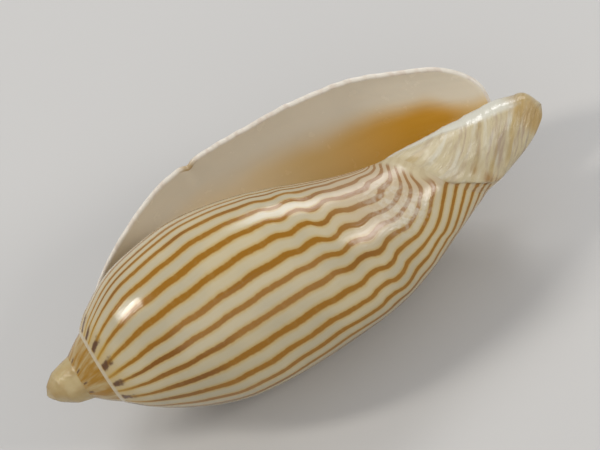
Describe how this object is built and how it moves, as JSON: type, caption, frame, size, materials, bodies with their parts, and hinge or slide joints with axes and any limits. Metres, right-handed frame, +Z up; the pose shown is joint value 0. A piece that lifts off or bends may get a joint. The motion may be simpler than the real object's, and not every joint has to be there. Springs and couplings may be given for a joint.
{
  "type": "volute shell",
  "caption": "Glossy spindle-shaped sea snail shell with wavy golden-brown axial lines, a bulbous tip, a wide aperture and a folded columella, lying on its back.",
  "frame": {"origin": "middle of the small flat spot on the back of the last whorl, which the shell rests on", "axes": "+Z up, +X along the axis of coiling from the apex to the front end, +Y towards the outer lip"},
  "size_m": [0.075, 0.0325, 0.0273],
  "materials": {
    "shell": "glossy porcelain-like shell, cream with golden-brown lines outside, orange to pinkish white inside"
  },
  "bodies": {
    "root": {"shell": "shell"}
  },
  "joints": []
}
